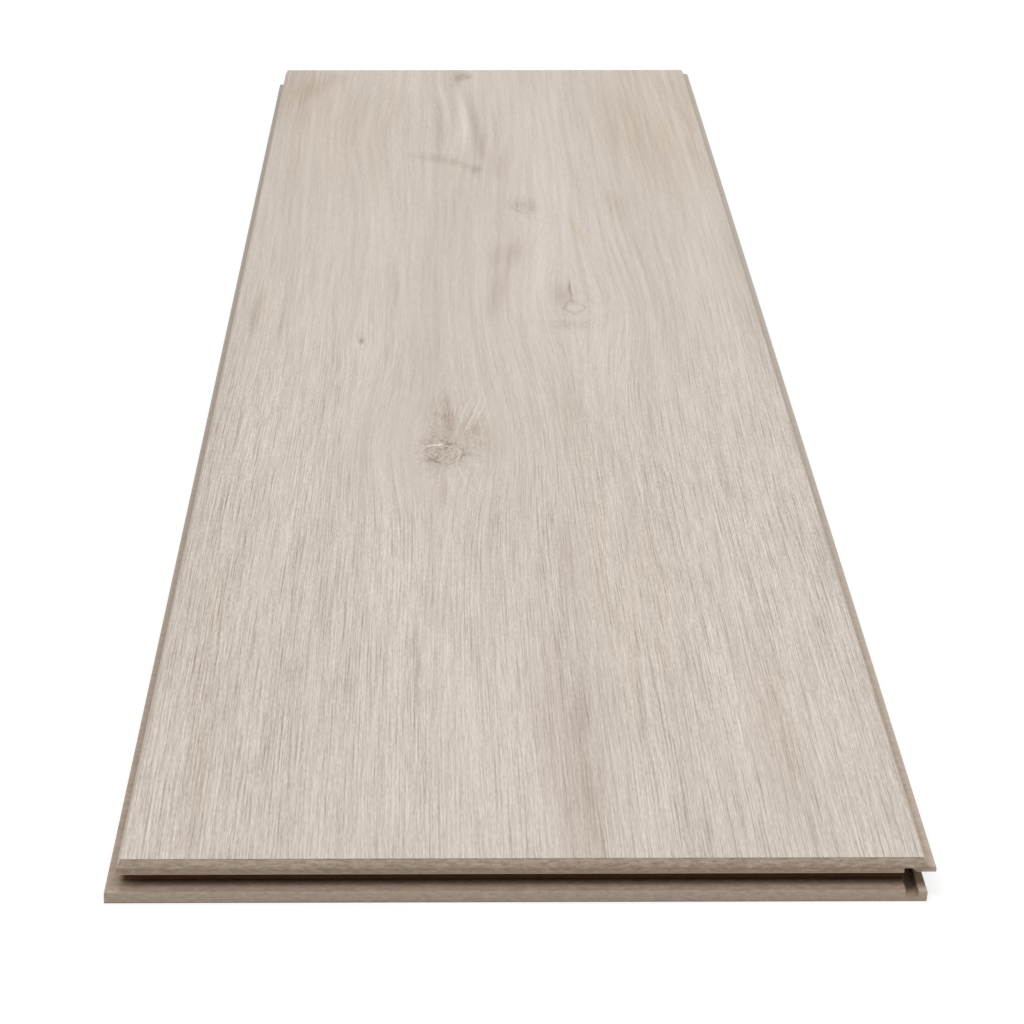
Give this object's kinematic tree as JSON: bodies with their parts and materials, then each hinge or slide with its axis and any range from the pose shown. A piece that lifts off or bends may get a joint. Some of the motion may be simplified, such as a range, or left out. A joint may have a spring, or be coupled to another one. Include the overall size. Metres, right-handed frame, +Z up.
{
  "type": "laminate floor plank",
  "caption": "Laminate floor plank with a whitewashed oak decor face, bevelled edges and milled tongue and groove joints on its four sides.",
  "frame": {"origin": "on the underside, at the centre of the area that one laid plank covers", "axes": "+Y along the plank, from its grooved near end to its tongued far end; +X across it, from its grooved left edge to its tongued right edge; +Z up, out of the decor face"},
  "size_m": [0.1965, 1.2954, 0.009],
  "materials": {
    "laminate": "matt embossed oak decor face on a fibreboard body"
  },
  "bodies": {
    "root": {"plank": "laminate"}
  },
  "joints": []
}
